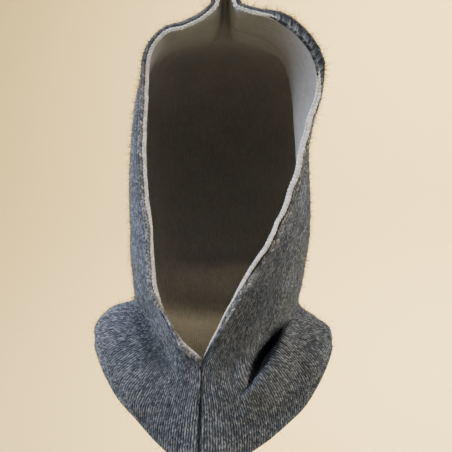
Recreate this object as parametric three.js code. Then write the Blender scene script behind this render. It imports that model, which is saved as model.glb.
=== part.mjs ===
// Knit hood with a cowl: two layers of fine knit and two chain-stitch edges round the face opening.
// Millimetres. +X is the viewer's right, -Y is out of the face opening, +Z is up.
// The origin is the point inside the crown by which the hood hangs when it is worn.
import * as THREE from 'three';

// Driving sizes
const LAYER = 1.4; // thickness of one knitted layer
const BETWEEN_LAYERS = 0.5; // air between the outer layer and the lining
const HEM_ROLL = 0.8; // how much thicker the rolled hem is than the layer
const HEM_HEIGHT = 0.012; // height over which that roll fades, from hem to crown
const RIGHT_FACE_ROLL = 2; // the same along the upper part of the right face edge
const LEFT_FACE_ROLL = 1.2; // and of the left one
const FACE_ROLL_FROM = 0.35; // where these begin, from hem to crown
const FACE_ROLL_EASE = 0.3; // over this much of the height they come in
const CHAIN_RADIUS = 1.6; // half the thickness of a chain-stitch edge
const CHAIN_AIR = 0.75; // air between an edge chain and what it runs along
const CHAIN_SIDES = 6;
const CHAIN_BEND = 0.5; // the sharpest bend at which a chain still keeps its width
const SLIT_START = 0.185; // where the front seam ends and the face opening begins, from hem to crown
const SLIT_EASE = 0.06; // over this much of the height the two front edges part company
const REAR_FULLNESS = 0.76; // 0.71 is an oval back, 1 a square one
const FOLD_END = 0.3; // share of a fold's line over which it fades away at each end
const FOLD_TAPER = 0.5; // how wide a fold still is at its very ends
const FOLD_DEPTH = 24; // from front to back, over which a fold of one side fades out
const FOLD_STEPS = 30; // steps in which a fold's line is measured
const CREASE_LENGTHEN = 1.6; // the most that a layer is drawn out at a crease to keep its thickness
const FINE_STEPS = 12; // steps in each span while a course is measured along its length
const OUTER_COLOUR = '#5c5f63';
const LINING_COLOUR = '#a6a49e';
const OUTER_CHAIN_COLOUR = '#77756f';
const LINING_CHAIN_COLOUR = '#b9b8b0';

// Where the knit is divided into facets: ends of the zones and the number of facets in each
const ACROSS_ZONES = [0, 0.035, 0.17, 0.3, 0.7, 0.83, 0.965, 1];
const ACROSS_COUNTS = [2, 11, 4, 8, 4, 11, 2];
const UP_ZONES = [0, 0.02, SLIT_START, 0.205, 0.4, 0.76, 0.945, 0.97, 1];
const UP_COUNTS = [1, 11, 1, 5, 5, 5, 1, 2];

// The front line of each half from the hem (v 0) up the front seam and the face edge to the peak (v 1)
const FRONT_COLUMNS = 'v x y z';
const RIGHT_FRONT = table(FRONT_COLUMNS, [
  [0, -17.5, -82, -349],
  [0.1, -15.8, -83.5, -303],
  [0.185, -15, -84, -267],
  [0.25, -0.5, -92.5, -239],
  [0.32, 13.6, -98, -213.7],
  [0.4, 33.3, -98, -183.5],
  [0.48, 50, -93, -152.5],
  [0.57, 62, -87, -115],
  [0.66, 70.8, -83, -76],
  [0.735, 78.8, -84, -44],
  [0.785, 76.5, -87, -23.5],
  [0.84, 62, -91, -4],
  [0.9, 40.5, -95.5, 9],
  [0.945, 21, -97, 13.3],
  [0.97, 13, -96.5, 17.5],
  [0.985, 11, -95.5, 25],
  [1, 4, -94, 31],
]);
const LEFT_FRONT = table(FRONT_COLUMNS, [
  [0, -17.5, -82, -349],
  [0.1, -15.8, -83.5, -303],
  [0.185, -15, -84, -267],
  [0.25, -32, -86, -250],
  [0.32, -49.5, -83, -221],
  [0.4, -55.8, -80, -188],
  [0.48, -58.3, -78, -154],
  [0.57, -62.3, -77, -116],
  [0.66, -62.6, -77.5, -77.5],
  [0.735, -60.8, -80, -45.5],
  [0.785, -59.2, -83, -25.5],
  [0.82, -55, -86, -13],
  [0.855, -44.2, -89, -2.5],
  [0.9, -27.5, -93.5, 2],
  [0.945, -10.8, -96, 10.8],
  [0.97, -3.2, -96, 19],
  [0.985, -3, -95.5, 25],
  [1, 4, -94, 31],
]);

// Courses of the knit from the hem to the crown seam. side: x of each side, with its y and z.
// cheek: x and y midway between the front line and the side. sinks: how far each cheek follows the
// front line's height. back: y and z of the middle of the back.
const COURSE_COLUMNS = 'v rightX leftX sideY rightZ leftZ rightCheekX rightCheekY leftCheekX leftCheekY '
  + 'rightSink leftSink backY backZ';
const COURSES = table(COURSE_COLUMNS, [
  [0, 95, -106.5, -12, -261, -257, 63.5, -61, -78, -59, 0.545, 0.478, 80, -300],
  [0.05, 93.5, -106.5, -13, -247, -242, 63, -62, -78, -60, 0.53, 0.48, 82, -281],
  [0.1, 81.5, -95, -15, -238, -231, 54, -62, -71, -63, 0.52, 0.5, 76, -262],
  [0.16, 67, -73.5, -15, -226, -222, 46, -64, -58, -64, 0.5, 0.5, 66, -240],
  [0.24, 70, -73.5, -15, -199, -198, 46, -72, -60, -62, 0.5, 0.5, 64, -212],
  [0.32, 74, -76, -14, -174, -174, 52, -72, -65, -58, 0.5, 0.5, 70, -184],
  [0.4, 76, -75.5, -12, -149, -149, 62, -68, -69, -54, 0.5, 0.5, 80, -157],
  [0.48, 76, -76, -10, -124, -124, 66, -55, -72, -50, 0.5, 0.5, 89, -130],
  [0.57, 75.5, -75, -8, -97, -97, 65, -50, -73, -47, 0.5, 0.5, 96, -100],
  [0.66, 75.5, -73, -6, -70, -70, 63, -48, -71, -46, 0.45, 0.45, 100, -76],
  [0.735, 75, -72, -5, -47, -47, 61, -50, -66, -48, 0.35, 0.35, 100, -57],
  [0.785, 71, -67, -5, -30, -30, 58, -50, -61, -50, 0.2, 0.2, 97, -43],
  [0.84, 60, -56, -5, -15, -15, 51, -52, -50, -52, 0, 0, 92, -30],
  [0.9, 42, -39, -5, -4, -4, 37, -52, -34, -52, -0.15, -0.15, 83, -17],
  [0.95, 22, -20, -5, 1, 1, 19, -52, -16, -52, -0.15, -0.15, 72, -9],
  [0.975, 12, -9, -5, 2.5, 2.5, 11, -52, -6, -52, 0, 0, 65, -6],
  [1, 2, 2, -5, 3.5, 3.5, 3, -52, 3, -52, 0.22, 0.22, 57, -4],
]);

// Folds of the hanging cloth. side -1 is the front, 1 the back. rise: how far it stands out (a hollow
// is less than 0). slide: how far it leans across its line, towards the after side. ahead: 0 moves
// the cloth off its own surface, 1 straight along Y. shape: 2 is a round fold, 4 a steep pocket.
// before and after: half widths on the two sides of its line, which runs through four points seen
// from the front.
const FOLDS = table('side rise slide ahead shape before after x1 z1 x2 z2 x3 z3 x4 z4', [
  [-1, -20, -6, 1, 4, 9, 9, 65, -220, 52, -247, 34, -271, 24, -302], // deep pocket below the right flap
  [-1, 4, 3, 0.6, 2, 6, 6, 57, -226, 37, -250, 20, -268, 15, -294], // lip of the flap over the pocket
  [-1, 6, 0, 0.5, 2, 7, 8, 66, -234, 57, -255, 42, -280, 12, -301], // soft roll outside the pocket
  [-1, -4.5, 0, 0.5, 2, 8, 8, 71, -258, 62, -286, 45, -305, 8, -318], // valley above the flared hem
  [-1, -7, 0, 0.4, 2, 11, 11, -64, -208, -57, -236, -46, -256, -27, -269], // valley beside the neck, left
  [-1, 3.5, 0, 0.2, 2, 14, 14, -92, -236, -87, -262, -74, -288, -50, -305], // bulge of the left cowl
  [-1, 1.5, 0, 0, 2, 5, 6, -105, -241, -92, -231, -78, -221, -62, -210], // rolled top of the left cowl
  [1, -7, 0, 0, 2, 11, 11, -66, -226, -30, -236, 30, -236, 62, -226], // crease at the nape
  [1, 4, 0, 0, 2, 13, 13, -70, -258, -30, -270, 30, -270, 72, -258], // roll of the cowl below it
  [1, -3, 0, 0, 2, 10, 10, -60, -186, -20, -196, 20, -192, 58, -180], // soft fold above it
]);

function table(names, rows) {
  const columns = names.split(' ');
  return rows.map((row) => Object.fromEntries(columns.map((name, i) => [name, row[i]])));
}

// Slope of a column at one row, from the rows on both sides
function slope(rows, name, i) {
  const here = rows[i];
  const before = rows[i - 1];
  const after = rows[i + 1];
  if (!before) return (after[name] - here[name]) / (after.v - here.v);
  if (!after) return (here[name] - before[name]) / (here.v - before.v);
  const down = here.v - before.v;
  const up = after.v - here.v;
  const slopeDown = (here[name] - before[name]) / down;
  const slopeUp = (after[name] - here[name]) / up;
  return (slopeDown * up + slopeUp * down) / (up + down);
}

// Smooth value of a column at height v
function valueAt(rows, name, v) {
  let i = 0;
  while (i < rows.length - 2 && v > rows[i + 1].v) i += 1;
  const step = rows[i + 1].v - rows[i].v;
  const t = (v - rows[i].v) / step;
  const t2 = t * t;
  const t3 = t2 * t;
  return (2 * t3 - 3 * t2 + 1) * rows[i][name]
    + (t3 - 2 * t2 + t) * step * slope(rows, name, i)
    + (3 * t2 - 2 * t3) * rows[i + 1][name]
    + (t3 - t2) * step * slope(rows, name, i + 1);
}

function rowAt(rows, v) {
  return Object.fromEntries(Object.keys(rows[0]).map((name) => [name, valueAt(rows, name, v)]));
}

function smoothStep(t) {
  const c = Math.min(1, Math.max(0, t));
  return c * c * (3 - 2 * c);
}

function mix(a, b, t) {
  return a + (b - a) * t;
}

// A smooth line through p1 and p2 with its neighbours p0 and p3, spaced by the lengths between them
function throughPoints(p0, p1, p2, p3, t) {
  const before = p1.distanceTo(p0);
  const span = p2.distanceTo(p1);
  const after = p3.distanceTo(p2);
  const leave = p1.clone().sub(p0).multiplyScalar(span / before)
    .add(p2.clone().sub(p1).multiplyScalar(before / span))
    .multiplyScalar(span / (before + span));
  const arrive = p2.clone().sub(p1).multiplyScalar(after / span)
    .add(p3.clone().sub(p2).multiplyScalar(span / after))
    .multiplyScalar(span / (after + span));
  const t2 = t * t;
  const t3 = t2 * t;
  return p1.clone().multiplyScalar(2 * t3 - 3 * t2 + 1)
    .add(leave.multiplyScalar(t3 - 2 * t2 + t))
    .add(p2.clone().multiplyScalar(3 * t2 - 2 * t3))
    .add(arrive.multiplyScalar(t3 - t2));
}

// The nine guide points of one course, from the right front line round the back to the left one
function guidePoints(v) {
  const right = rowAt(RIGHT_FRONT, v);
  const left = rowAt(LEFT_FRONT, v);
  const course = rowAt(COURSES, v);
  const half = (front, side) => {
    const x = course[`${side}X`];
    const z = course[`${side}Z`];
    const edge = new THREE.Vector3(front.x, front.y, front.z);
    const cheekZ = mix(z, front.z, course[`${side}Sink`]);
    const cheek = new THREE.Vector3(course[`${side}CheekX`], course[`${side}CheekY`], cheekZ);
    const middle = new THREE.Vector3(x, course.sideY, z);
    const rear = new THREE.Vector3(
      x * REAR_FULLNESS,
      mix(course.sideY, course.backY, REAR_FULLNESS),
      mix(z, course.backZ, 0.5),
    );
    return [edge, cheek, middle, rear];
  };
  const back = new THREE.Vector3(0, course.backY, course.backZ);
  return [...half(right, 'right'), back, ...half(left, 'left').reverse()];
}

// One course as points at the given shares of its length
function coursePoints(v, shares) {
  const guides = guidePoints(v);
  const last = guides.length - 1;
  const parted = smoothStep((v - SLIT_START) / SLIT_EASE);
  const beyond = (end, inner, across) => end.clone().multiplyScalar(2).sub(inner).lerp(across, 1 - parted);
  const chain = [
    beyond(guides[0], guides[1], guides[last - 1]),
    ...guides,
    beyond(guides[last], guides[last - 1], guides[1]),
  ];
  const fine = [];
  for (let i = 0; i < last; i += 1) {
    for (let k = 0; k < FINE_STEPS; k += 1) {
      fine.push(throughPoints(chain[i], chain[i + 1], chain[i + 2], chain[i + 3], k / FINE_STEPS));
    }
  }
  fine.push(guides[last].clone());
  const lengths = [0];
  for (let i = 1; i < fine.length; i += 1) {
    lengths.push(lengths[i - 1] + fine[i].distanceTo(fine[i - 1]));
  }
  let i = 0;
  return shares.map((share) => {
    const wanted = share * lengths[lengths.length - 1];
    while (i < fine.length - 2 && lengths[i + 1] < wanted) i += 1;
    const t = (wanted - lengths[i]) / (lengths[i + 1] - lengths[i]);
    return fine[i].clone().lerp(fine[i + 1], t);
  });
}

function zones(ends, counts) {
  const list = [ends[0]];
  counts.forEach((count, zone) => {
    for (let k = 1; k <= count; k += 1) list.push(mix(ends[zone], ends[zone + 1], k / count));
  });
  return list;
}

// The cloth as one open sheet: points, four-cornered facets, and the loop of points round the face
function makeSheet() {
  const across = zones(ACROSS_ZONES, ACROSS_COUNTS);
  const up = zones(UP_ZONES, UP_COUNTS);
  const lastColumn = across.length - 1;
  const lastRow = up.length - 1;
  const points = [];
  const heights = [];
  const index = [];
  up.forEach((v, row) => {
    const course = coursePoints(v, across);
    index.push([]);
    course.forEach((point, column) => {
      const closed = v <= SLIT_START + 1e-9 && column === lastColumn;
      const seamed = row === lastRow && column > lastColumn / 2;
      if (closed) {
        index[row].push(index[row][0]);
      } else if (seamed) {
        index[row].push(index[row][lastColumn - column]);
      } else {
        index[row].push(points.length);
        points.push(point);
        heights.push(v);
      }
    });
  });
  const facets = [];
  for (let row = 0; row < lastRow; row += 1) {
    for (let column = 0; column < lastColumn; column += 1) {
      const corners = [
        index[row][column],
        index[row][column + 1],
        index[row + 1][column + 1],
        index[row + 1][column],
      ];
      // the left half is divided as a mirror image of the right one
      if (column >= lastColumn / 2) corners.push(corners.shift());
      facets.push(corners);
    }
  }
  const slitRow = up.findIndex((v) => v >= SLIT_START - 1e-9);
  const faceLoop = [];
  for (let row = slitRow; row <= lastRow; row += 1) faceLoop.push(index[row][0]);
  for (let row = lastRow - 1; row > slitRow; row -= 1) faceLoop.push(index[row][lastColumn]);
  return { points, heights, facets, faceLoop };
}

// Outward direction at every point, longer at a crease so that a layer keeps its thickness there
function outwardAt(points, facets) {
  const sums = points.map(() => new THREE.Vector3());
  const around = points.map(() => []);
  facets.flatMap(([a, b, c, d]) => [[a, b, c], [a, c, d]]).forEach((corners) => {
    const [p, q, r] = corners.map((i) => points[i]);
    const normal = q.clone().sub(p).cross(r.clone().sub(p));
    const unit = normal.clone().normalize();
    corners.forEach((i) => {
      sums[i].add(normal);
      around[i].push(unit);
    });
  });
  return sums.map((sum, i) => {
    const unit = sum.normalize();
    const lean = Math.min(...around[i].map((normal) => normal.dot(unit)));
    return unit.clone().multiplyScalar(1 / Math.max(1 / CREASE_LENGTHEN, lean));
  });
}

// The move that a fold gives to a point of the cloth with that outward direction
function foldMove(fold, point, outward) {
  const line = [
    new THREE.Vector3(fold.x1, 0, fold.z1),
    new THREE.Vector3(fold.x2, 0, fold.z2),
    new THREE.Vector3(fold.x3, 0, fold.z3),
    new THREE.Vector3(fold.x4, 0, fold.z4),
  ];
  const curve = new THREE.CatmullRomCurve3(line, false, 'catmullrom', 0.5);
  const here = new THREE.Vector3(point.x, 0, point.z);
  let best = { distance: Infinity };
  for (let k = 0; k <= FOLD_STEPS; k += 1) {
    const share = k / FOLD_STEPS;
    const on = curve.getPoint(share);
    const distance = on.distanceTo(here);
    if (distance < best.distance) {
      const along = curve.getTangent(share);
      const across = new THREE.Vector3(-along.z, 0, along.x);
      best = { distance, share, across, turn: across.dot(here.clone().sub(on)) };
    }
  }
  const fade = smoothStep(best.share / FOLD_END) * smoothStep((1 - best.share) / FOLD_END);
  const width = (best.turn < 0 ? fold.before : fold.after) * mix(FOLD_TAPER, 1, fade);
  const facing = smoothStep(0.5 + (point.y * fold.side) / FOLD_DEPTH);
  const amount = fade * facing * Math.exp(-((best.distance / width) ** fold.shape));
  const straight = new THREE.Vector3(0, fold.side, 0);
  return outward.clone().lerp(straight, fold.ahead).normalize()
    .multiplyScalar(fold.rise * amount)
    .addScaledVector(best.across, fold.slide * amount);
}

// A closed thin wall between two distances from the sheet
function wall(sheet, from, to) {
  const { points, outward, facets, heights } = sheet;
  const count = points.length;
  const rollAt = new Map(sheet.faceLoop.map((id, i) => [
    id,
    i < sheet.faceLoop.length / 2 ? RIGHT_FACE_ROLL : LEFT_FACE_ROLL,
  ]));
  const all = [];
  points.forEach((point, i) => {
    const hem = HEM_ROLL * Math.exp(-((heights[i] / HEM_HEIGHT) ** 2));
    const upper = smoothStep((heights[i] - FACE_ROLL_FROM) / FACE_ROLL_EASE);
    const face = (rollAt.get(i) ?? 0) * upper;
    const reach = to > 0 ? to + hem + face : to;
    all.push(point.clone().addScaledVector(outward[i], reach));
  });
  points.forEach((point, i) => all.push(point.clone().addScaledVector(outward[i], from)));
  const triangles = [];
  const used = new Map();
  facets.forEach(([a, b, c, d]) => {
    triangles.push([a, b, c], [a, c, d]);
    triangles.push([a + count, c + count, b + count], [a + count, d + count, c + count]);
    [[a, b], [b, c], [c, d], [d, a]].forEach(([p, q]) => {
      if (used.has(`${q} ${p}`)) used.delete(`${q} ${p}`);
      else used.set(`${p} ${q}`, [p, q]);
    });
  });
  used.forEach(([p, q]) => {
    triangles.push([p, p + count, q + count], [p, q + count, q]);
  });
  return toGeometry(all, triangles);
}

// A closed cord beside the face edge; layer is 1 on the outer knit and -1 on the lining
function edgeChain(sheet, layer) {
  const { points, outward, faceLoop } = sheet;
  const count = faceLoop.length;
  const all = [];
  faceLoop.forEach((id, i) => {
    const here = points[id];
    const before = points[faceLoop[(i + count - 1) % count]];
    const after = points[faceLoop[(i + 1) % count]];
    const arriving = here.clone().sub(before).normalize();
    const leaving = after.clone().sub(here).normalize();
    const along = arriving.clone().add(leaving).normalize();
    const widen = 1 / Math.max(CHAIN_BEND, along.dot(leaving));
    const out = outward[id].clone().normalize().multiplyScalar(2)
      .add(outward[faceLoop[(i + count - 1) % count]].clone().normalize())
      .add(outward[faceLoop[(i + 1) % count]].clone().normalize())
      .normalize();
    out.addScaledVector(along, -out.dot(along)).normalize();
    const inward = out.clone().cross(along).normalize();
    const centre = here.clone()
      .addScaledVector(inward, (CHAIN_RADIUS + CHAIN_AIR) * widen)
      .addScaledVector(out, layer * (CHAIN_RADIUS + CHAIN_AIR / 2));
    for (let k = 0; k < CHAIN_SIDES; k += 1) {
      const angle = (2 * Math.PI * (k + 0.5)) / CHAIN_SIDES;
      all.push(centre.clone()
        .addScaledVector(inward, CHAIN_RADIUS * Math.cos(angle) * widen)
        .addScaledVector(out, CHAIN_RADIUS * Math.sin(angle)));
    }
  });
  const triangles = [];
  for (let i = 0; i < count; i += 1) {
    for (let k = 0; k < CHAIN_SIDES; k += 1) {
      const next = (k + 1) % CHAIN_SIDES;
      const a = i * CHAIN_SIDES + k;
      const b = i * CHAIN_SIDES + next;
      const c = ((i + 1) % count) * CHAIN_SIDES + next;
      const d = ((i + 1) % count) * CHAIN_SIDES + k;
      triangles.push([a, b, c], [a, c, d]);
    }
  }
  return toGeometry(all, triangles);
}

function toGeometry(points, triangles) {
  const geometry = new THREE.BufferGeometry();
  const flat = [];
  points.forEach((point) => flat.push(point.x, point.y, point.z));
  geometry.setAttribute('position', new THREE.Float32BufferAttribute(flat, 3));
  let volume = 0;
  triangles.forEach(([a, b, c]) => {
    volume += points[a].dot(points[b].clone().cross(points[c]));
  });
  const faced = volume < 0 ? triangles.map(([a, b, c]) => [a, c, b]) : triangles;
  geometry.setIndex(faced.flat());
  geometry.computeVertexNormals();
  return geometry;
}

function addPiece(group, name, geometry, colour) {
  const material = new THREE.MeshStandardMaterial({ color: colour, roughness: 0.95, metalness: 0 });
  const mesh = new THREE.Mesh(geometry, material);
  mesh.name = name;
  group.add(mesh);
}

function build() {
  const sheet = makeSheet();
  const plain = outwardAt(sheet.points, sheet.facets);
  sheet.points = sheet.points.map((point, i) => FOLDS.reduce(
    (moved, fold) => moved.add(foldMove(fold, point, plain[i].clone().normalize())),
    point.clone(),
  ));
  sheet.outward = outwardAt(sheet.points, sheet.facets);
  const near = BETWEEN_LAYERS / 2;
  const group = new THREE.Group();
  group.name = 'knit_hood';
  addPiece(group, 'outer_knit', wall(sheet, near, near + LAYER), OUTER_COLOUR);
  addPiece(group, 'lining', wall(sheet, -near - LAYER, -near), LINING_COLOUR);
  addPiece(group, 'outer_edge_chain', edgeChain(sheet, 1), OUTER_CHAIN_COLOUR);
  addPiece(group, 'lining_edge_chain', edgeChain(sheet, -1), LINING_CHAIN_COLOUR);
  return group;
}

export default build();
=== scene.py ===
import math

import bmesh
import bpy
import numpy as np
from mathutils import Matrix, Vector, noise


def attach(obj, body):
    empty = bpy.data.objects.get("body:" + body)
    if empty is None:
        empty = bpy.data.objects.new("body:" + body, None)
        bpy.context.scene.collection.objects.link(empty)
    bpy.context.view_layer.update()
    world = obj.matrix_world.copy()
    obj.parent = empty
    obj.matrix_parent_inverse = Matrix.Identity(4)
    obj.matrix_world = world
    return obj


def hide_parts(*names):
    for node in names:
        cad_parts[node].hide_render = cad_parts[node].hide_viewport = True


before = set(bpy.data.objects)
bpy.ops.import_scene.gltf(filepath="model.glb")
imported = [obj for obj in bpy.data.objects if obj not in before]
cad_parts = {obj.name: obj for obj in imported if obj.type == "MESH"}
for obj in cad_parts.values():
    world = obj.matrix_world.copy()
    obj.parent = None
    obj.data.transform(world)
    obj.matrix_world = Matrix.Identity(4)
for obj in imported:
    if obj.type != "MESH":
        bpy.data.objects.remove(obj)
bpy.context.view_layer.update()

# A knit hood with a cowl. Sizes are in millimetres up to the moment a mesh is made; the camera, the
# studio and its lights are in metres.
MM = 0.001
LAYER_FACE = 1.65  # from the middle of the two layers to the outside of either
HEM_ROLL = 0.8
RIGHT_FACE_ROLL = 2
LEFT_FACE_ROLL = 1.2
CHAIN_RADIUS = 1.6
CHAIN_AIR = 0.15  # between the two cords
EDGE_REACH = 1.2  # from the cloth's edge to the middle of either chain
LINK_PITCH = 2.9
SLIT_START = 0.185  # where the front seam ends and the face opening begins, from hem to crown
SLIT_EASE = 0.06  # how much higher its two sides are fully apart
REAR_FULLNESS = 0.76  # how round the courses are between either side and the back
FOLD_END = 0.3  # share of a fold's line over which it fades at either end
FOLD_TAPER = 0.5  # its width at the ends against the middle
FOLD_DEPTH = 24  # from front to back, where a fold of one side fades before the other
PEAK_X = 5  # the crown seam's place across, behind the peak
PINCH = 0.45  # how much nearer to it the two halves press
PEAK_LIFT = 14
HEM_BAND = 3.2  # the height of the rolled hem
HEM_STITCHING = 4.6  # from the hem up to the line of its stitching
STITCHING_DEPTH = 0.35
HEM_INSIDE = 2.1  # from the middle of the two layers in to the turned hem
FACE_BAND = 3.4  # the width of the rolled face edges
SEAM_DEPTH = 2.4  # of the front seam's groove
SEAM_RIDGE = 0.4
RIDGE_FROM_SEAM = 3.6
RIDGE_BAND = 1.6
CROWN_SEAM_DEPTH = 0.9
CROWN_SEAM_BAND = 1.6
CURL = 5.5  # how far the outer layer's edge curls out on the upper right
CURL_FROM_EDGE = 3.2
CURL_BAND = 3.8
LINING_SHOWN = 3.2  # how far the lining comes out past the outer layer on the right
RIGHT_DIVE, RIGHT_DIVE_OUT = 5, 2.6  # how far the right cord goes back, and away, below the opening
LEFT_DIVE = 3
RIGHT_LEAN = 7  # wales by which the cowl's knit leans on either side
LEFT_LEAN = 12

WALES = 290  # columns of stitches round the hood, 2 mm each at the hem
COURSE_HEIGHT = 1.9  # half as tall again as the real stitches, so that the picture can show them
RIB_DEPTH = 0.46  # half the height of a wale above the valley beside it
COURSES_UP = 220  # courses in one length of the UV map
BROAD_WAVE, BROAD_HEIGHT = 21, 0.5  # the unevenness of soft knit
SMALL_WAVE, SMALL_HEIGHT = 8, 0.28

LEG_TURN = math.radians(24)  # of each chain-stitch leg away from the cord's line
LEG_APART = 0.78
LEG_FORWARD = 0.35
LEG_WIDTH, LEG_DEPTH, LEG_LENGTH = 0.95, 1.1, 2.15  # half sizes
CORE_RADIUS = 1.05

HAIRS = 32000
HAIR_WIDTH = 0.36
HAIR_LENGTH = 4.4  # on average
LONGEST_HAIR = 10
HAIR_EVENNESS = 4  # higher for more even lengths
HAIR_STEPS = 3  # facets from root to tip

rng = np.random.default_rng(7)


# Camera: level, 88 cm in front of the crown, as the photograph was taken
PHOTO_PIXELS = 452
FOCAL_PIXELS = 1000
camera_data = bpy.data.cameras.new("camera")
camera_data.sensor_width = 36
camera_data.lens = camera_data.sensor_width * FOCAL_PIXELS / PHOTO_PIXELS
camera = bpy.data.objects.new("camera", camera_data)
camera.location = (0.0048, -0.88, -0.156)
camera.rotation_euler = (math.radians(90), 0, 0)
bpy.context.scene.collection.objects.link(camera)
bpy.context.scene.camera = camera


def table(names, rows):
    return {name: np.array(column, float) for name, column in zip(names.split(), zip(*rows))}


# The front line of each half from the hem (v 0) up the front seam and the face edge to the peak
RIGHT_FRONT = table("v x y z", [
    (0, -17.5, -82, -349),
    (0.1, -15.8, -83.5, -303),
    (0.185, -15, -84, -267),
    (0.25, -0.5, -92.5, -239),
    (0.32, 13.6, -98, -213.7),
    (0.4, 33.3, -98, -183.5),
    (0.48, 50, -93, -152.5),
    (0.57, 62, -87, -115),
    (0.66, 70.8, -83, -76),
    (0.735, 78.8, -84, -44),
    (0.785, 76.5, -87, -23.5),
    (0.84, 62, -91, -4),
    (0.9, 40.5, -95.5, 9),
    (0.945, 21, -97, 13.3),
    (0.97, 13, -96.5, 17.5),
    (0.985, 11, -95.5, 25),
    (1, 4, -94, 31),
])
LEFT_FRONT = table("v x y z", [
    (0, -17.5, -82, -349),
    (0.1, -15.8, -83.5, -303),
    (0.185, -15, -84, -267),
    (0.25, -32, -86, -250),
    (0.32, -49.5, -83, -221),
    (0.4, -55.8, -80, -188),
    (0.48, -58.3, -78, -154),
    (0.57, -62.3, -77, -116),
    (0.66, -62.6, -77.5, -77.5),
    (0.735, -60.8, -80, -45.5),
    (0.785, -59.2, -83, -25.5),
    (0.82, -55, -86, -13),
    (0.855, -44.2, -89, -2.5),
    (0.9, -27.5, -93.5, 2),
    (0.945, -10.8, -96, 10.8),
    (0.97, -3.2, -96, 19),
    (0.985, -3, -95.5, 25),
    (1, 4, -94, 31),
])

# Courses from the hem to the crown seam: x of each side with its y and z, x and y of each cheek,
# how far each cheek follows the front line's height, and y and z of the middle of the back
COURSE_COLUMNS = (
    "v rightX leftX sideY rightZ leftZ rightCheekX rightCheekY leftCheekX leftCheekY "
    "rightSink leftSink backY backZ"
)
COURSES = table(COURSE_COLUMNS, [
    (0, 95, -106.5, -12, -261, -257, 63.5, -61, -78, -59, 0.545, 0.478, 80, -300),
    (0.05, 93.5, -106.5, -13, -247, -242, 63, -62, -78, -60, 0.53, 0.48, 82, -281),
    (0.1, 81.5, -95, -15, -238, -231, 54, -62, -71, -63, 0.52, 0.5, 76, -262),
    (0.16, 67, -73.5, -15, -226, -222, 46, -64, -58, -64, 0.5, 0.5, 66, -240),
    (0.24, 70, -73.5, -15, -199, -198, 46, -72, -60, -62, 0.5, 0.5, 64, -212),
    (0.32, 74, -76, -14, -174, -174, 52, -72, -65, -58, 0.5, 0.5, 70, -184),
    (0.4, 76, -75.5, -12, -149, -149, 62, -68, -69, -54, 0.5, 0.5, 80, -157),
    (0.48, 76, -76, -10, -124, -124, 66, -55, -72, -50, 0.5, 0.5, 89, -130),
    (0.57, 75.5, -75, -8, -97, -97, 65, -50, -73, -47, 0.5, 0.5, 96, -100),
    (0.66, 75.5, -73, -6, -70, -70, 63, -48, -71, -46, 0.45, 0.45, 100, -76),
    (0.735, 75, -72, -5, -47, -47, 61, -50, -66, -48, 0.35, 0.35, 100, -57),
    (0.785, 71, -67, -5, -30, -30, 58, -50, -61, -50, 0.2, 0.2, 97, -43),
    (0.84, 60, -56, -5, -15, -15, 51, -52, -50, -52, 0, 0, 92, -30),
    (0.9, 42, -39, -5, -4, -4, 37, -52, -34, -52, -0.15, -0.15, 83, -17),
    (0.95, 22, -20, -5, 1, 1, 19, -52, -16, -52, -0.15, -0.15, 72, -9),
    (0.975, 12, -9, -5, 2.5, 2.5, 11, -52, -6, -52, 0, 0, 65, -6),
    (1, 2, 2, -5, 3.5, 3.5, 3, -52, 3, -52, 0.22, 0.22, 57, -4),
])

# Folds of the hanging cloth: side -1 is the front, 1 the back; rise is how far it stands out and
# slide how far it leans across its line; ahead turns the move from the cloth's own outward direction
# to straight along Y; shape is 2 for a round fold and 4 for a steep pocket; before and after are
# half widths on the two sides of its line, which runs through four points seen from the front
FOLDS = table("side rise slide ahead shape before after x1 z1 x2 z2 x3 z3 x4 z4", [
    (-1, -6, -2, 1, 2, 8, 7, 67, -214, 56, -238, 42, -254, 24, -302),  # valley below the right flap
    (-1, -46, 9, 1, 4, 10, 5, 55, -236, 43, -251.5, 31.5, -266, 25, -289),  # pocket that it opens into
    (-1, 4, 0, 0.6, 2, 6, 6, 57, -226, 37, -250, 20, -268, 15, -294),  # lip of the flap beside the pocket
    (-1, 9, -6, 0.5, 2, 5, 9, 64, -234, 53, -255, 39, -279, 12, -300),  # soft roll outside the pocket
    (-1, -4.5, 0, 0.5, 2, 8, 8, 71, -258, 62, -286, 45, -305, 8, -318),  # valley above the flared hem
    (-1, -9.5, 0, 0.4, 2, 10, 11, -66, -208, -60, -236, -50, -257, -30, -271),  # valley, left of the neck
    (-1, 3.5, 0, 0.2, 2, 14, 14, -92, -236, -87, -262, -74, -288, -50, -305),  # bulge of the left cowl
    (-1, 1.5, 0, 0, 2, 5, 6, -105, -241, -92, -231, -78, -221, -62, -210),  # rolled top of the left cowl
    (1, -7, 0, 0, 2, 11, 11, -66, -226, -30, -236, 30, -236, 62, -226),  # crease at the nape
    (1, 4, 0, 0, 2, 13, 13, -70, -258, -30, -270, 30, -270, 72, -258),  # roll of the cowl below it
    (1, -3, 0, 0, 2, 10, 10, -60, -186, -20, -196, 20, -192, 58, -180),  # soft fold above it
])


def smooth_step(t):
    t = np.clip(t, 0, 1)
    return t * t * (3 - 2 * t)


def bell(distance, width, power=2):
    """1 in the middle and fading to nothing beyond the width."""
    return np.exp(-(np.abs(distance / width) ** power))


def unit(vectors):
    return vectors / np.maximum(np.linalg.norm(vectors, axis=-1, keepdims=True), 1e-9)


def square_to(vectors, direction):
    """Unit vectors turned square to a direction."""
    return unit(vectors - direction * np.sum(vectors * direction, -1, keepdims=True))


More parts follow.
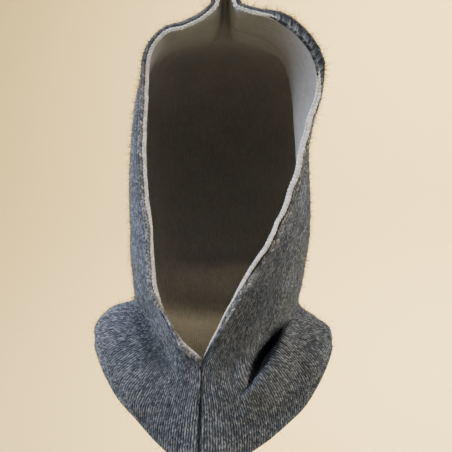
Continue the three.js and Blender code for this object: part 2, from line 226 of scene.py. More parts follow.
def row_at(rows, v):
    """Every column of a table at the heights v, on a smooth line through its rows."""
    known = rows["v"]
    step = np.diff(known)
    i = np.clip(np.searchsorted(known, v, side="right") - 1, 0, len(step) - 1)
    t = (v - known[i]) / step[i]
    made = {}
    for name, values in rows.items():
        rise = np.diff(values) / step
        inner = (rise[:-1] * step[1:] + rise[1:] * step[:-1]) / (step[:-1] + step[1:])
        slope = np.concatenate([rise[:1], inner, rise[-1:]])
        made[name] = (
            (2 * t**3 - 3 * t**2 + 1) * values[i]
            + (t**3 - 2 * t**2 + t) * step[i] * slope[i]
            + (3 * t**2 - 2 * t**3) * values[i + 1]
            + (t**3 - t**2) * step[i] * slope[i + 1]
        )
    return made


def guide_points(v):
    """The nine guide points of each course, from the right front line round the back to the left."""
    right, left, course = row_at(RIGHT_FRONT, v), row_at(LEFT_FRONT, v), row_at(COURSES, v)
    side_y, back_y = course["sideY"], course["backY"]

    def half(front, side):
        x, z = course[side + "X"], course[side + "Z"]
        cheek_z = z + (front["z"] - z) * course[side + "Sink"]
        cheek = [course[side + "CheekX"], course[side + "CheekY"], cheek_z]
        rear = [x * REAR_FULLNESS, side_y + (back_y - side_y) * REAR_FULLNESS, (z + course["backZ"]) / 2]
        places = ([front["x"], front["y"], front["z"]], cheek, [x, side_y, z], rear)
        return [np.stack(place, 1) for place in places]

    back = np.stack([0 * v, back_y, course["backZ"]], 1)
    return np.stack(half(right, "right") + [back] + half(left, "left")[::-1], 1)


def wale_numbers(v, shares):
    """The wale at every point. Those of the cowl lean towards the front as they climb."""
    from_front = np.minimum(shares, 1 - shares)
    where = smooth_step((0.5 - from_front) / 0.22) * (0.1 + 0.9 * smooth_step(from_front / 0.14))
    lean = np.where(shares < 0.5, RIGHT_LEAN, -LEFT_LEAN)
    return shares[None] * WALES + smooth_step(v / 0.2)[:, None] * (lean * where)[None]


def course_points(v, shares, fine=48):
    """The cloth at the heights v and at the given shares of each course's length."""
    guides = guide_points(v)
    parted = smooth_step((v - SLIT_START) / SLIT_EASE)[:, None]

    def beyond(end, inner, across):
        return (2 * end - inner) * parted + across * (1 - parted)

    first = beyond(guides[:, 0], guides[:, 1], guides[:, -2])
    last = beyond(guides[:, -1], guides[:, -2], guides[:, 1])
    chain = np.concatenate([first[:, None], guides, last[:, None]], 1)
    gaps = np.linalg.norm(np.diff(chain, axis=1), axis=2)[..., None]
    t = (np.arange(fine) / fine)[None, :, None]
    spans = []
    for i in range(guides.shape[1] - 1):
        p0, p1, p2, p3 = (chain[:, i + k, None] for k in range(4))
        before, span, after = (gaps[:, i + k, None] for k in range(3))
        leave = ((p1 - p0) * span / before + (p2 - p1) * before / span) * span / (before + span)
        arrive = ((p2 - p1) * after / span + (p3 - p2) * span / after) * span / (after + span)
        spans.append(
            p1 * (2 * t**3 - 3 * t**2 + 1) + leave * (t**3 - 2 * t**2 + t)
            + p2 * (3 * t**2 - 2 * t**3) + arrive * (t**3 - t**2)
        )
    line = np.concatenate(spans + [guides[:, -1:]], 1)
    lengths = np.linalg.norm(np.diff(line, axis=1), axis=2).cumsum(1)
    lengths = np.concatenate([np.zeros((len(v), 1)), lengths], 1)
    points = np.empty((len(v), len(shares), 3))
    for row in range(len(v)):
        for axis in range(3):
            points[row, :, axis] = np.interp(shares * lengths[row, -1], lengths[row], line[row, :, axis])
    return points


def fold_move(fold, points, away, steps=60):
    """How one fold moves each point of the cloth."""
    knots = np.array([[fold[f"x{k}"], fold[f"z{k}"]] for k in (1, 2, 3, 4)])
    knots = np.vstack([2 * knots[0] - knots[1], knots, 2 * knots[3] - knots[2]])
    share = np.linspace(0, 1, steps + 1)
    i = np.minimum((share * 3).astype(int), 2)
    t = (share * 3 - i)[:, None]
    a, b, c, d = (knots[i + k] for k in range(4))
    line = b + 0.5 * (
        (c - a) * t + (2 * a - 5 * b + 4 * c - d) * t**2 + (3 * b - a - 3 * c + d) * t**3
    )
    facing = smooth_step(0.5 + points[:, 1] * fold["side"] / FOLD_DEPTH)
    reach = 3 * max(fold["before"], fold["after"])
    here = points[:, [0, 2]]
    inside = np.all(here > line.min(0) - reach, 1) & np.all(here < line.max(0) + reach, 1)
    near = (facing > 0) & inside
    here = here[near]
    best = np.full(len(here), np.inf)
    where = np.zeros(len(here))
    turn = np.ones(len(here))
    across = np.zeros((len(here), 3))
    for k in range(steps):
        along = line[k + 1] - line[k]
        gone = here - line[k]
        t = np.clip(gone @ along / (along @ along), 0, 1)
        distance = np.linalg.norm(gone - t[:, None] * along, axis=1)
        closer = distance < best
        best[closer] = distance[closer]
        where[closer] = (k + t[closer]) / steps
        turn[closer] = np.sign(along[0] * gone[closer, 1] - along[1] * gone[closer, 0])
        across[closer] = unit(np.array([-along[1], 0, along[0]]))
    fade = smooth_step(where / FOLD_END) * smooth_step((1 - where) / FOLD_END)
    width = np.where(turn < 0, fold["before"], fold["after"]) * (FOLD_TAPER + (1 - FOLD_TAPER) * fade)
    amount = (fade * facing[near] * bell(best, width, fold["shape"]))[:, None]
    straight = np.array([0, fold["side"], 0])
    direction = unit(away[near] * (1 - fold["ahead"]) + straight * fold["ahead"])
    move = np.zeros((len(points), 3))
    move[near] = direction * fold["rise"] * amount + across * fold["slide"] * amount
    return move


def outward(points, v):
    """Unit outward direction, direction along a course and direction up a wale at every point."""
    along = np.gradient(points, axis=1)
    closed = v <= SLIT_START + 1e-9
    round_seam = points[closed, 1] - points[closed, -2]
    along[closed, 0] = round_seam
    along[closed, -1] = round_seam
    up = np.gradient(points, axis=0)
    normal = unit(np.cross(along, up))
    crown = smooth_step((v - 0.97) / 0.03)[:, None, None]
    ridge = unit(normal[-1] + normal[-1, ::-1])
    return unit(normal * (1 - crown) + ridge[None] * crown), unit(along), unit(up)


def spaced(ends, counts):
    parts = [np.linspace(a, b, n, endpoint=False) for a, b, n in zip(ends, ends[1:], counts)]
    return np.concatenate(parts + [[ends[-1]]])


def cloth(v, shares):
    """The middle of the two layers with its folds and the small unevenness of soft knit."""
    points = course_points(v, shares)
    flat = points.reshape(-1, 3)
    away = outward(points, v)[0].reshape(-1, 3)
    moved = flat.copy()
    for k in range(len(FOLDS["side"])):
        moved += fold_move({name: column[k] for name, column in FOLDS.items()}, flat, away)
    soft = [
        BROAD_HEIGHT * noise.noise(Vector(p) / BROAD_WAVE)
        + SMALL_HEIGHT * noise.noise(Vector(p) / SMALL_WAVE + Vector((9, 4, 2)))
        for p in flat.tolist()
    ]
    moved += away * np.array(soft)[:, None]
    # the crown seam: the layers press together into a deep slit behind the peak
    height = np.repeat(v, len(shares))
    behind = smooth_step((moved[:, 1] + 96) / 9) * smooth_step((-15 - moved[:, 1]) / 30)
    pinch = behind * smooth_step((height - 0.935) / 0.035)
    moved[:, 0] += (PEAK_X - moved[:, 0]) * PINCH * pinch
    moved[:, 2] += PEAK_LIFT * behind * smooth_step((height - 0.955) / 0.03)
    return moved.reshape(points.shape)


def moved_grid(bm, mesh, place):
    """Writes a bmesh into a mesh and moves each vertex to the place worked out from where it was."""
    bm.to_mesh(mesh)
    bm.free()
    spots = np.empty(len(mesh.vertices) * 3, np.float32)
    mesh.vertices.foreach_get("co", spots)
    spots = place(spots.reshape(-1, 3))
    mesh.vertices.foreach_set("co", np.ascontiguousarray(spots, np.float32).ravel())
    mesh.update()


def give_tone(mesh, tone):
    """A shade at every vertex: the yarn's own on the cords; on the outer cloth, painted shade in the
    seam's groove, a painted highlight on the ridge beside it and a darker curled edge.
    """
    shades = mesh.attributes.new("tone", "FLOAT", "POINT")
    shades.data.foreach_set("value", tone.astype(np.float32).ravel())


def grid_mesh(name, points, uv, facing, tone=None):
    """A sheet of rows and columns of points, moved into place from a flat grid."""
    rows, columns = points.shape[:2]
    mesh = bpy.data.meshes.new(name)
    bm = bmesh.new()
    bmesh.ops.create_grid(bm, x_segments=columns - 1, y_segments=rows - 1, size=0.5)
    index = {}

    def place(flat):
        index["column"] = np.rint((flat[:, 0] + 0.5) * (columns - 1)).astype(int)
        index["row"] = np.rint((flat[:, 1] + 0.5) * (rows - 1)).astype(int)
        return points[index["row"], index["column"]] * MM

    moved_grid(bm, mesh, place)
    corners = np.empty(len(mesh.loops), np.int32)
    mesh.loops.foreach_get("vertex_index", corners)
    at_corners = uv[index["row"], index["column"]][corners]
    mesh.uv_layers.new(name="UVMap").uv.foreach_set("vector", at_corners.astype(np.float32).ravel())
    if tone is not None:
        give_tone(mesh, tone[index["row"], index["column"]])
    middle = (rows // 2) * (columns - 1) + columns // 4
    bm = bmesh.new()
    bm.from_mesh(mesh)
    bm.faces.ensure_lookup_table()
    sample = bm.faces[middle]
    bmesh.ops.remove_doubles(bm, verts=bm.verts, dist=2e-6)
    bmesh.ops.recalc_face_normals(bm, faces=bm.faces)
    if sample.normal.dot(Vector(facing[rows // 2, columns // 4])) < 0:
        bmesh.ops.reverse_faces(bm, faces=bm.faces)
    bm.to_mesh(mesh)
    bm.free()
    mesh.shade_smooth()
    return mesh


def add_piece(name, mesh, material):
    piece = bpy.data.objects.new(name, mesh)
    bpy.context.scene.collection.objects.link(piece)
    mesh.materials.clear()
    mesh.materials.append(material)
    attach(piece, "root")
    return piece


def linear(code):
    """Linear colour of an sRGB hex value."""
    parts = [int(code[i : i + 2], 16) / 255 for i in (1, 3, 5)]
    return (*[c / 12.92 if c <= 0.04045 else ((c + 0.055) / 1.055) ** 2.4 for c in parts], 1)


def add(tree, kind, inputs=None, stops=None, **settings):
    """Adds a node with its settings, its sockets' values or links, and a ramp's stops."""
    made = tree.nodes.new(kind)
    for key, value in settings.items():
        setattr(made, key, value)
    for key, value in (inputs or {}).items():
        if isinstance(value, bpy.types.NodeSocket):
            tree.links.new(value, made.inputs[key])
        else:
            made.inputs[key].default_value = value
    if stops:
        ramp = made.color_ramp.elements
        while len(ramp) < len(stops):
            ramp.new(0.5)
        for element, (position, code) in zip(ramp, stops):
            element.position = position
            element.color = linear(code)
    return made


def new_material(name):
    material = bpy.data.materials.new(name)
    material.use_nodes = True
    material.node_tree.nodes.clear()
    return material, material.node_tree


def knit(name, stops, speck, dash, streak, valley, bump, sheen, tint):
    """Fine single-jersey wool knit. Columns of slanted stitches make narrow valleys between soft ribs,
    darkened with painted shade, and two-tone yarn gives the stitches their shades in dashes and streaks
    along the wales."""
    material, tree = new_material(name)
    uv = add(tree, "ShaderNodeUVMap", uv_map="UVMap")
    parts = add(tree, "ShaderNodeSeparateXYZ", {0: uv.outputs[0]})
    wale = add(tree, "ShaderNodeMath", {0: parts.outputs[0], 1: WALES}, operation="MULTIPLY")
    course = add(tree, "ShaderNodeMath", {0: parts.outputs[1], 1: COURSES_UP}, operation="MULTIPLY")
    # 0 in the middle of a wale and 1 in the valley beside it
    inside = add(tree, "ShaderNodeMath", {0: wale.outputs[0]}, operation="FRACT")
    centred = add(tree, "ShaderNodeMath", {0: inside.outputs[0], 1: 0.5}, operation="SUBTRACT")
    side = add(tree, "ShaderNodeMath", {0: centred.outputs[0]}, operation="ABSOLUTE")
    off_centre = add(tree, "ShaderNodeMath", {0: side.outputs[0], 1: 2.0}, operation="MULTIPLY")
    hollow = add(tree, "ShaderNodeMath", {0: off_centre.outputs[0], 1: 0.5}, operation="POWER")
    rib = add(tree, "ShaderNodeMath", {0: 1.0, 1: hollow.outputs[0]}, operation="SUBTRACT")
    # the legs of a stitch rise outwards from its foot
    slant = add(tree, "ShaderNodeMath", {0: off_centre.outputs[0], 1: 0.9}, operation="MULTIPLY")
    leg = add(tree, "ShaderNodeMath", {0: course.outputs[0], 1: slant.outputs[0]}, operation="SUBTRACT")
    leg_share = add(tree, "ShaderNodeMath", {0: leg.outputs[0]}, operation="FRACT")
    leg_wave = add(tree, "ShaderNodeMath", {0: leg_share.outputs[0], 1: math.pi}, operation="MULTIPLY")
    leg_round = add(tree, "ShaderNodeMath", {0: leg_wave.outputs[0]}, operation="SINE")
    height = add(tree, "ShaderNodeMath", {0: leg_round.outputs[0], 1: 0.35, 2: rib.outputs[0]},
                 operation="MULTIPLY_ADD")
    # one shade for each leg of each stitch
    legs = add(tree, "ShaderNodeMath", {0: wale.outputs[0], 1: 2.0}, operation="MULTIPLY")
    leg_column = add(tree, "ShaderNodeMath", {0: legs.outputs[0]}, operation="FLOOR")
    leg_row = add(tree, "ShaderNodeMath", {0: leg.outputs[0]}, operation="FLOOR")
    cell = add(tree, "ShaderNodeCombineXYZ", {0: leg_column.outputs[0], 1: leg_row.outputs[0]})
    specks = add(tree, "ShaderNodeTexWhiteNoise", {"Vector": cell.outputs[0]}, noise_dimensions="2D")
    shades = [(specks.outputs[0], speck)]
    # the twist of the yarn: dashes about 3 courses long and streaks about 20, one wale wide
    wale_number = add(tree, "ShaderNodeMath", {0: wale.outputs[0]}, operation="FLOOR")
    for length, apart, weight in ((3, 3.7, dash), (20, 2.3, streak)):
        x = add(tree, "ShaderNodeMath", {0: wale_number.outputs[0], 1: apart}, operation="MULTIPLY")
        y = add(tree, "ShaderNodeMath", {0: leg.outputs[0], 1: 1 / length}, operation="MULTIPLY")
        at = add(tree, "ShaderNodeCombineXYZ", {0: x.outputs[0], 1: y.outputs[0], 2: length})
        twist = add(tree, "ShaderNodeTexNoise", {"Vector": at.outputs[0], "Scale": 1.0, "Detail": 1.0})
        shades.append((twist.outputs[0], weight))
    # cloudy unevenness, 15 to 30 mm across
    where = add(tree, "ShaderNodeTexCoord")
    cloud = add(tree, "ShaderNodeTexNoise",
                {"Vector": where.outputs["Object"], "Scale": 45.0, "Detail": 3.0})
    shades.append((cloud.outputs[0], 0.22))
    # the tone attribute: on the outer cloth it holds painted shade in the seam's groove and a painted
    # highlight on its ridge
    tone = add(tree, "ShaderNodeAttribute", attribute_name="tone")
    level = 0.5 - 0.5 * sum(weight for _, weight in shades)
    total = add(tree, "ShaderNodeMath", {0: tone.outputs["Fac"], 1: level}, operation="ADD")
    for shade, weight in shades:
        total = add(tree, "ShaderNodeMath", {0: shade, 1: weight, 2: total.outputs[0]},
                    operation="MULTIPLY_ADD")
    colour = add(tree, "ShaderNodeValToRGB", {0: total.outputs[0]}, stops=stops)
    # painted shade: the colour is multiplied darker towards the valleys between the ribs and the ends of
    # the stitch legs, down to the valley share at the bottom
    painted_valley_shade = add(tree, "ShaderNodeMapRange",
                {"Value": height.outputs[0], "From Max": 1.2, "To Min": valley, "To Max": 1.0})
    dark = add(tree, "ShaderNodeMix", {"Factor": 1.0, "A": colour.outputs[0], "B": painted_valley_shade.outputs[0]},
               data_type="RGBA", blend_type="MULTIPLY")
    relief = add(tree, "ShaderNodeBump",
                 {"Height": height.outputs[0], "Distance": bump * MM, "Strength": 0.9})
    fuzz = add(tree, "ShaderNodeTexNoise",
               {"Vector": where.outputs["Object"], "Scale": 900.0, "Detail": 2.0})
    woolly = add(tree, "ShaderNodeBump", {
        "Height": fuzz.outputs[0], "Distance": 0.25 * MM, "Strength": 0.5, "Normal": relief.outputs[0]})
    wool = add(tree, "ShaderNodeBsdfPrincipled", {
        "Base Color": dark.outputs["Result"], "Roughness": 0.95, "Normal": woolly.outputs[0],
        "Sheen Weight": sheen, "Sheen Roughness": 0.6, "Sheen Tint": linear(tint),
        "Specular IOR Level": 0.15})
    add(tree, "ShaderNodeOutputMaterial", {"Surface": wool.outputs[0]})
    return material


def yarn(name, stops, sheen):
    """Wool edging yarn in chain stitch: each loop keeps its own shade, with fine fibres on top."""
    material, tree = new_material(name)
    tone = add(tree, "ShaderNodeAttribute", attribute_name="tone")
    where = add(tree, "ShaderNodeTexCoord")
    fibre = add(tree, "ShaderNodeTexNoise",
                {"Vector": where.outputs["Object"], "Scale": 1400.0, "Detail": 3.0})
    centred = add(tree, "ShaderNodeMath", {0: fibre.outputs[0], 1: 0.5}, operation="SUBTRACT")
    mixed = add(tree, "ShaderNodeMath", {0: centred.outputs[0], 1: 0.9, 2: tone.outputs["Fac"]},
                operation="MULTIPLY_ADD")
    colour = add(tree, "ShaderNodeValToRGB", {0: mixed.outputs[0]}, stops=stops)
    relief = add(tree, "ShaderNodeBump",
                 {"Height": fibre.outputs[0], "Distance": 0.3 * MM, "Strength": 0.7})
    wool = add(tree, "ShaderNodeBsdfPrincipled", {
        "Base Color": colour.outputs[0], "Roughness": 0.95, "Normal": relief.outputs[0],
        "Sheen Weight": sheen, "Sheen Roughness": 0.6, "Specular IOR Level": 0.15})
    add(tree, "ShaderNodeOutputMaterial", {"Surface": wool.outputs[0]})
    return material


def fibres(name, code):
    """Loose wool fibres standing off the knit: pale, thin and matt."""
    material, tree = new_material(name)
    where = add(tree, "ShaderNodeTexCoord")
    vary = add(tree, "ShaderNodeTexNoise", {"Vector": where.outputs["Object"], "Scale": 300.0})
    brighter = add(tree, "ShaderNodeMath", {0: vary.outputs[0], 1: 1.2, 2: 0.4},
                   operation="MULTIPLY_ADD")
    colour = add(tree, "ShaderNodeHueSaturation", {"Value": brighter.outputs[0], "Color": linear(code)})
    wool = add(tree, "ShaderNodeBsdfPrincipled", {
        "Base Color": colour.outputs[0], "Roughness": 0.9, "Specular IOR Level": 0.2})
    add(tree, "ShaderNodeOutputMaterial", {"Surface": wool.outputs[0]})
    return material


CHARCOAL = knit(
    "charcoal marled wool jersey",
    [(0.05, "#363b42"), (0.4, "#7c8289"), (0.6, "#a6abb0"), (0.95, "#ffffff")],
    speck=0.6, dash=0.4, streak=0.22, valley=0.0, bump=0.6, sheen=0.25, tint="#c8cdd4",
)
PALE = knit(
    "light grey wool jersey",
    [(0.1, "#858079"), (0.4, "#9c9892"), (0.7, "#aeaaa4"), (0.95, "#c2beb8")],
    speck=0.3, dash=0.3, streak=0.2, valley=0.7, bump=0.4, sheen=0.3, tint="#ffffff",
)
CHARCOAL_YARN = yarn(
    "marled wool edging yarn",
    [(0.1, "#444548"), (0.4, "#6a6a6a"), (0.7, "#908e8a"), (0.95, "#c2c0ba")], 0.3,
)
PALE_YARN = yarn(
    "light grey wool edging yarn",
    [(0.05, "#aba598"), (0.5, "#e0dacc"), (0.95, "#fcf7ea")], 0.3,
)
FIBRE = fibres("loose grey wool fibres", "#565a60")

# The outer layer: three columns of facets to a wale, so that its valleys are real hollows
V_ROWS = spaced(
    [0, 0.02, SLIT_START, 0.32, 0.5, 0.8, 0.95, 1],
    [3, 44, 22, 10, 12, 9, 6],
)
U_COLUMNS = np.linspace(0, 1, WALES * 3 + 1)
base = cloth(V_ROWS, U_COLUMNS)
normal, along, up = outward(base, V_ROWS)


def climbed(points):
    """Length up each wale from the hem."""
    steps = np.linalg.norm(np.diff(points, axis=0), axis=2).cumsum(0)
    return np.concatenate([np.zeros((1, points.shape[1])), steps])


climb = climbed(base)
course_length = np.linalg.norm(np.diff(base, axis=1), axis=2).sum(1)
from_right = U_COLUMNS[None] * course_length[:, None]
from_left = (1 - U_COLUMNS)[None] * course_length[:, None]
from_edge = np.minimum(from_right, from_left)
parted = smooth_step((V_ROWS - SLIT_START) / SLIT_EASE)[:, None]
upper = smooth_step((V_ROWS - 0.35) / 0.3)[:, None]
to_crown = climb[-1][None] - climb

hem_band = bell(climb, HEM_BAND, 4)
wales = wale_numbers(V_ROWS, U_COLUMNS)
rib = -RIB_DEPTH * np.cos(2 * math.pi * wales) * (1 - 0.8 * hem_band)
offset = LAYER_FACE + rib
# the rolled hem with the line of its stitching
offset = offset + HEM_ROLL * hem_band - STITCHING_DEPTH * bell(climb - HEM_STITCHING, 1.1)
offset = offset + upper * RIGHT_FACE_ROLL * bell(from_right, FACE_BAND)
offset = offset + upper * LEFT_FACE_ROLL * bell(from_left, FACE_BAND)
# the groove of the front seam and the ridge beside it
seam_width = 1 + 0.5 * smooth_step((V_ROWS - 0.08) / 0.08)[:, None]
groove = (1 - parted) * bell(from_edge, seam_width)
ridge = (1 - parted) * bell(from_left - RIDGE_FROM_SEAM, RIDGE_BAND)
offset = offset - SEAM_DEPTH * groove + SEAM_RIDGE * ridge
offset = offset - CROWN_SEAM_DEPTH * bell(to_crown, CROWN_SEAM_BAND)
outer = base + normal * offset[..., None]
# the outer layer curls out beyond its edge on the upper right
curl = (smooth_step((V_ROWS - 0.72) / 0.06) * smooth_step((0.93 - V_ROWS) / 0.06))[:, None]
sideways = unit(normal * [1, 0, 1])
outer = outer + sideways * (CURL * curl * bell(from_right - CURL_FROM_EDGE, CURL_BAND))[..., None]


def edge_columns(side, turns):
    """The outer layer turned round the face edge, or down into the front seam below it."""
    column = 0 if side > 0 else -1
    here, out = base[:, column], normal[:, column]
    beyond = square_to(along[:, column], out) * -side
    reach = outer[:, column] - here
    length = np.linalg.norm(reach, axis=1, keepdims=True)
    made = []
    for turn in turns:
        rolled = reach * math.cos(turn) + beyond * length * 0.55 * math.sin(turn)
        sunk = reach - out * 0.35 * turn
        made.append(here + rolled * parted + sunk * (1 - parted))
    return np.stack(made, 1)


TURNS = np.radians((40, 85, 130))
HEM_TURNS = np.radians((180, 135, 90, 45))
HEM_ROWS_UP = (-12, -6, -4.5, -3, -1.5)  # the turned rows' places on the UV map, from the hem's edge
right_roll = edge_columns(1, TURNS)[:, ::-1]
left_roll = edge_columns(-1, TURNS)
body = np.concatenate([right_roll, outer, left_roll], 1)
half_wales = np.array([0.5, 1, 1.5])
body_wales = np.concatenate([wales[:, :1] - half_wales[::-1], wales, wales[:, -1:] + half_wales], 1)


def pad(array):
    """Repeats the first and last column for the turned edges."""
    return np.concatenate([array[:, :1]] * len(TURNS) + [array] + [array[:, -1:]] * len(TURNS), 1)


def with_hem(first, array):
    """Puts the turned hem's rows, all alike, below the others."""
    return np.concatenate([first] * len(HEM_ROWS_UP) + [array])


base_wide, normal_wide, up_wide, climb_wide = pad(base), pad(normal), pad(up), pad(climb)
# the hem turns under and ends about 6 mm up inside
hem_reach = np.sum((body[0] - base_wide[0]) * normal_wide[0], 1, keepdims=True)
hem_rows = []
for turn in HEM_TURNS:
    out_share = math.cos(turn) * (1 if turn < math.pi / 2 else 0.95)
    down = abs(hem_reach) * 0.6 * math.sin(turn) - 1
    hem_rows.append(base_wide[0] + normal_wide[0] * hem_reach * out_share - up_wide[0] * down)
inside = base_wide[2] - normal_wide[2] * HEM_INSIDE
sheet = np.concatenate([inside[None], np.stack(hem_rows), body])
under_hem = np.array(HEM_ROWS_UP)[:, None] + 0 * climb_wide[:1]
sheet_v = np.concatenate([under_hem, climb_wide])
sheet_u = with_hem(body_wales[:1], body_wales) / WALES
sheet_uv = np.stack([sheet_u, sheet_v / (COURSE_HEIGHT * COURSES_UP)], -1)
# painted shade darkens the groove of the front seam and a painted highlight lightens the ridge beside it;
# the curled edge is darker
painted_seam_light_and_curl_tone = pad(0.03 * ridge - 0.8 * groove - 0.28 * curl * bell(from_right, 7, 4))
sheet_painted_light_and_curl_tone = with_hem(0 * painted_seam_light_and_curl_tone[:1], painted_seam_light_and_curl_tone)
facing = with_hem(normal_wide[:1], normal_wide)
outer_mesh = grid_mesh("outer_knit_cloth", sheet, sheet_uv, facing, sheet_painted_light_and_curl_tone)
outer_piece = add_piece("outer_knit_cloth", outer_mesh, CHARCOAL)
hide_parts("outer_knit")

# The lining, facing inwards
LINING_ROWS = spaced([0.004, 0.02, SLIT_START, 0.32, 0.5, 0.8, 0.95, 1], [2, 30, 22, 14, 17, 12, 7])
LINING_COLUMNS = np.linspace(0, 1, 301)
lining_base = cloth(LINING_ROWS, LINING_COLUMNS)
lining_out, lining_along, _ = outward(lining_base, LINING_ROWS)
lining_climb = climbed(lining_base)
lining_length = np.linalg.norm(np.diff(lining_base, axis=1), axis=2).sum(1)


def lining_reveal(v):
    """How far the lining comes out past the outer layer along the right face edge."""
    return LINING_SHOWN * smooth_step((v - 0.3) / 0.1) * smooth_step((0.76 - v) / 0.1)


reveal = lining_reveal(LINING_ROWS)[:, None] * bell(LINING_COLUMNS[None] * lining_length[:, None], 4)
lining = lining_base - lining_out * LAYER_FACE - lining_along * reveal[..., None]
lining_across = np.broadcast_to(LINING_COLUMNS, lining_climb.shape)
lining_uv = np.stack([lining_across, lining_climb / (COURSE_HEIGHT * COURSES_UP)], -1)
lining_mesh = grid_mesh("lining_cloth", lining, lining_uv, -lining_out)
lining_piece = add_piece("lining_cloth", lining_mesh, PALE)
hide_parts("lining")


def face_line():
    """Point, outward, along and inward direction round the face opening, evenly spaced, and the looks
    of the cords there: how far the lining shows, how plump its cord is, and the shade that the marled
    cord loses."""
    v = np.linspace(SLIT_START, 1, 400)
    ends = cloth(v, np.array([0, 0.004, 0.996, 1]))
    right_in = unit(ends[:, 0] - ends[:, 1])
    left_in = unit(ends[:, 3] - ends[:, 2])
    # the cords dive behind the front seam at the foot of the opening, the right one behind its flap
    right_dive = (1 - smooth_step((v - SLIT_START - 0.03) / 0.08))[:, None]
    left_dive = (1 - smooth_step((v - SLIT_START) / 0.02))[:, None]
    right = ends[:, 0] + (np.array([0, RIGHT_DIVE, 0]) - right_in * RIGHT_DIVE_OUT) * right_dive
    left = ends[:, 3] + np.array([0, LEFT_DIVE, 0]) * left_dive
    shown = lining_reveal(v)
    high = smooth_step((v - 0.7) / 0.1)
    right_looks = np.stack([shown, 0.6 + 0.4 * smooth_step(shown / 1.5), 0.45 * high], 1)
    left_looks = np.stack([0 * v, 0.82 - 0.2 * high, 0.4 * high - 0.05], 1)

    def closed(on_right, on_left):
        """Up the right edge, down the left one and back to the first point."""
        return np.concatenate([on_right, on_left[-2:0:-1], on_right[:1]])

    points = closed(right, left)
    lengths = np.concatenate([[0], np.linalg.norm(np.diff(points, axis=0), axis=1).cumsum()])
    count = round(lengths[-1] / LINK_PITCH)
    wanted = np.arange(count) * lengths[-1] / count

    def evenly(values):
        return np.stack([np.interp(wanted, lengths, values[:, k]) for k in range(3)], 1)

    spots = evenly(points)
    ahead = unit(np.roll(spots, -1, 0) - np.roll(spots, 1, 0))
    inward = square_to(unit(evenly(closed(right_in, left_in))), ahead)
    for _ in range(3):
        inward = unit(np.roll(inward, 1, 0) + inward * 2 + np.roll(inward, -1, 0))
        inward = square_to(inward, ahead)
    looks = evenly(closed(right_looks, left_looks))
    return spots, unit(np.cross(ahead, inward)), ahead, inward, looks


def chain(name, layer, plump, material, slot, tones):
    """Chain stitch: V after V of plump yarn legs over a thin core, all round the face opening."""
    spots, out, ahead, inward, looks = face_line()
    centres = spots + inward * EDGE_REACH + out * layer * (CHAIN_RADIUS + CHAIN_AIR / 2)
    size = np.full((len(spots), 1), float(plump))
    loss = looks[:, 2]
    if layer < 0:
        centres = centres + inward * looks[:, :1]
        size = size * looks[:, 1:2]
        loss = 0 * loss
    count = len(centres)
    leg_mesh = bpy.data.meshes.new("leg")
    bm = bmesh.new()
    bmesh.ops.create_uvsphere(bm, u_segments=6, v_segments=4, radius=1)
    bm.to_mesh(leg_mesh)
    bm.free()
    bm = bmesh.new()
    for _ in range(2 * count):
        bm.from_mesh(leg_mesh)
    bmesh.ops.create_grid(bm, x_segments=6, y_segments=count, size=0.5)
    per_leg = len(leg_mesh.vertices)
    legs_end = 2 * count * per_leg
    shades = rng.uniform(*tones, size=2 * count) - np.tile(loss, 2)

    def place(flat):
        moved = flat.astype(float)
        ball = moved[:per_leg].copy()
        front = unit(inward + out * layer * 0.6)
        across = unit(np.cross(front, ahead))
        front = np.cross(ahead, across)
        for k, leg in enumerate((-1, 1)):
            turn = LEG_TURN * leg
            length = ahead * math.cos(turn) + across * math.sin(turn)
            width = np.cross(length, front)
            middle = centres + across * LEG_APART * size * leg + front * LEG_FORWARD
            points = (
                middle[:, None] + ball[None, :, :1] * LEG_WIDTH * (size * width)[:, None]
                + ball[None, :, 1:2] * LEG_DEPTH * (size * front)[:, None]
                + ball[None, :, 2:] * LEG_LENGTH * length[:, None]
            )
            moved[:legs_end].reshape(2, count, per_leg, 3)[k] = points
        core = moved[legs_end:]
        angle = (core[:, :1] + 0.5) * 2 * math.pi
        i = np.rint((core[:, 1] + 0.5) * count).astype(int) % count
        spoke = inward[i] * np.cos(angle) + out[i] * np.sin(angle)
        moved[legs_end:] = centres[i] + spoke * CORE_RADIUS
        return moved * MM

    mesh = bpy.data.meshes.new(name)
    moved_grid(bm, mesh, place)
    tone = np.full(len(mesh.vertices), tones[0])
    tone[:legs_end] = np.repeat(shades, per_leg)
    give_tone(mesh, tone)
    bm = bmesh.new()
    bm.from_mesh(mesh)
    bm.verts.ensure_lookup_table()
    bmesh.ops.remove_doubles(bm, verts=bm.verts[legs_end:], dist=1e-6)
    bmesh.ops.recalc_face_normals(bm, faces=bm.faces)
    bm.to_mesh(mesh)
    bm.free()
    mesh.shade_smooth()
    return add_piece(name, mesh, material)


outer_chain = chain("outer_chain_stitch", 1, 1, CHARCOAL_YARN, "outer_edge_chain", (0.15, 0.85))
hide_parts("outer_edge_chain")
lining_chain = chain("lining_chain_stitch", -1, 1.35, PALE_YARN, "lining_edge_chain", (0.3, 1))
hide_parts("lining_edge_chain")


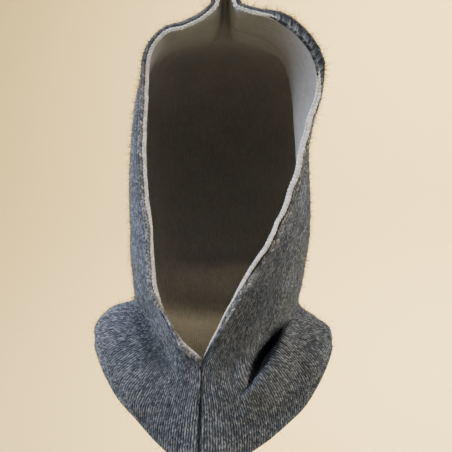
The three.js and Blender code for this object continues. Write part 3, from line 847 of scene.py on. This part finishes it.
def fuzz(name, count, surface, out, density, material, slot):
    """Loose fibres: bent ribbons cut from one long grid, rooted all over a sheet of knit."""
    columns = surface.shape[1]
    corner = surface[:-1, :-1]
    ground = np.linalg.norm(np.cross(surface[1:, :-1] - corner, surface[:-1, 1:] - corner), axis=2)
    ground = ground * density[:-1, :-1]
    spots = rng.choice(ground.size, count, p=ground.ravel() / ground.sum())
    row, column = np.divmod(spots, columns - 1)
    start = surface[row, column]
    root = start + (surface[row, column + 1] - start) * rng.random((count, 1))
    root = root + (surface[row + 1, column] - start) * rng.random((count, 1))
    away = out[row, column]
    lean = rng.normal(size=(count, 3))
    lean = square_to(lean, away)
    bend = rng.normal(size=(count, 3))
    length = rng.gamma(HAIR_EVENNESS, HAIR_LENGTH / HAIR_EVENNESS, count)
    length = np.minimum(length, LONGEST_HAIR)[:, None]
    height = rng.uniform(0.25, 0.9, count)[:, None]
    joints = []
    for t in (0, 0.33, 0.67, 1):  # from the root to the tip
        joints.append(
            root + away * (length * height * t * (1 - 0.25 * t) - 0.2)
            + lean * length * (t * 0.9) + bend * length * 0.22 * t * t
        )
    joints = np.stack(joints)
    width = unit(np.cross(lean, away)) * HAIR_WIDTH / 2
    edges = 2 * count - 1
    bm = bmesh.new()
    bmesh.ops.create_grid(bm, x_segments=edges, y_segments=HAIR_STEPS, size=0.5)
    between = [
        face for face in bm.faces if int((face.calc_center_median().x + 0.5) * edges) % 2
    ]
    bmesh.ops.delete(bm, geom=between, context="FACES")

    def place(flat):
        hair, edge = np.divmod(np.rint((flat[:, 0] + 0.5) * edges).astype(int), 2)
        step = np.rint((flat[:, 1] + 0.5) * HAIR_STEPS).astype(int)
        thin = ((1 - step / (HAIR_STEPS + 1)) * (2 * edge - 1))[:, None]
        return (joints[step, hair] + width[hair] * thin) * MM

    mesh = bpy.data.meshes.new(name)
    moved_grid(bm, mesh, place)
    return add_piece(name, mesh, material)


# worn edges are the hairiest
density = 1 + 9 * upper * bell(from_edge, 9)
outer_fuzz = fuzz("outer_fuzz", HAIRS, outer, normal, density, FIBRE, "outer_knit")


# Studio: a pale seamless floor that curves up into a backdrop, cool light from the left
FLOOR = -0.62
WALL = 1.5  # behind the hood
CURVE = 0.5  # radius of the bend between them
BACKDROP_LENGTH = 6.5
BACKDROP_WIDTH = 9
BACKDROP_FRONT = 2.5


def backdrop():
    """One sheet of paper: flat on the floor, curved up behind and straight above."""
    start = WALL - CURVE + BACKDROP_FRONT
    arc = CURVE * math.pi / 2

    def place(flat):
        run = (flat[:, 1] + 0.5) * BACKDROP_LENGTH
        angle = np.clip((run - start) / CURVE, 0, math.pi / 2)
        y = np.minimum(run, start) - BACKDROP_FRONT + CURVE * np.sin(angle)
        z = FLOOR + CURVE * (1 - np.cos(angle)) + np.maximum(0, run - start - arc)
        return np.stack([flat[:, 0] * BACKDROP_WIDTH, y, z], 1)

    bm = bmesh.new()
    bmesh.ops.create_grid(bm, x_segments=8, y_segments=60, size=0.5)
    mesh = bpy.data.meshes.new("backdrop")
    moved_grid(bm, mesh, place)
    mesh.shade_smooth()
    made = bpy.data.objects.new("backdrop", mesh)
    bpy.context.scene.collection.objects.link(made)
    material, tree = new_material("matt cream paper")
    paper = add(tree, "ShaderNodeBsdfPrincipled", {"Base Color": linear("#e9e1bf"), "Roughness": 0.95})
    add(tree, "ShaderNodeOutputMaterial", {"Surface": paper.outputs[0]})
    mesh.materials.append(material)


backdrop()


def light(name, place, target, size, power, code, spread=180):
    data = bpy.data.lights.new(name, "AREA")
    data.shape = "RECTANGLE"
    data.size, data.size_y = size
    data.energy = power
    data.color = linear(code)[:3]
    data.spread = math.radians(spread)
    made = bpy.data.objects.new(name, data)
    made.location = place
    made.rotation_euler = (Vector(target) - Vector(place)).to_track_quat("-Z", "Y").to_euler()
    bpy.context.scene.collection.objects.link(made)


light("window", (-1.85, -0.65, 1), (0, 0, 0.08), (1.2, 1.2), 13.5, "#e0e9ff", 60)
light("room", (1.75, -0.75, 1), (0, 0, 0.25), (1.0, 1.2), 5.2, "#fff7ee", 40)
light("ceiling", (0, -0.3, 1.5), (0, 0, -0.15), (1.6, 1.6), 2.5, "#f2f5f8")
light("wall wash", (0.7, 0.5, 1.2), (0.5, 1.5, -0.3), (1.6, 0.6), 47, "#ffdf9e", 90)

world = bpy.data.worlds.new("studio")
world.use_nodes = True
world.node_tree.nodes.clear()
sky = add(world.node_tree, "ShaderNodeBackground", {"Color": linear("#e9edf2"), "Strength": 0.17})
add(world.node_tree, "ShaderNodeOutputWorld", {"Surface": sky.outputs[0]})
bpy.context.scene.world = world
